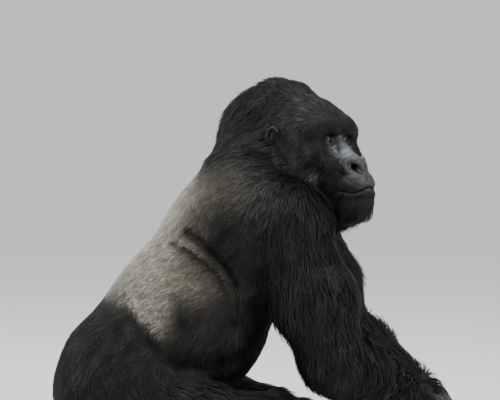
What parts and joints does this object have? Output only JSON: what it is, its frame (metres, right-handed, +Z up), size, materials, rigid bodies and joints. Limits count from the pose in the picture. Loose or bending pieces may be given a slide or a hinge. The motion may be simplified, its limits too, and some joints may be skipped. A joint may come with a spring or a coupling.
{
  "type": "silverback mountain gorilla",
  "caption": "Life-size seated silverback mountain gorilla, leaning forward on its knuckles and looking over its right shoulder.",
  "frame": {"origin": "on the floor, on the flat under the seat", "axes": "+Z up, -Y the way the body faces, +X the animal's left"},
  "size_m": [0.8268, 1.2711, 1.064],
  "materials": {
    "silver_coat": "short lying hair, silver-grey over the saddle and dark at its roots",
    "black_coat": "long shaggy hair, black with a soft blue-grey sheen",
    "bare_skin": "bare wrinkled skin, dark grey and half glossy",
    "eye": "wet dark amber-brown eye"
  },
  "bodies": {
    "root": {"trunk": "silver_coat", "neck": "black_coat", "head": "black_coat", "ear_left": "bare_skin", "ear_right": "bare_skin", "eye_left": "eye", "eye_right": "eye", "upper_arm_left": "black_coat", "upper_arm_right": "black_coat", "forearm_left": "black_coat", "forearm_right": "black_coat", "hand_left": "bare_skin", "hand_right": "bare_skin", "thigh_left": "black_coat", "thigh_right": "black_coat", "shank_left": "black_coat", "shank_right": "black_coat", "foot_left": "bare_skin", "foot_right": "bare_skin"}
  },
  "joints": []
}
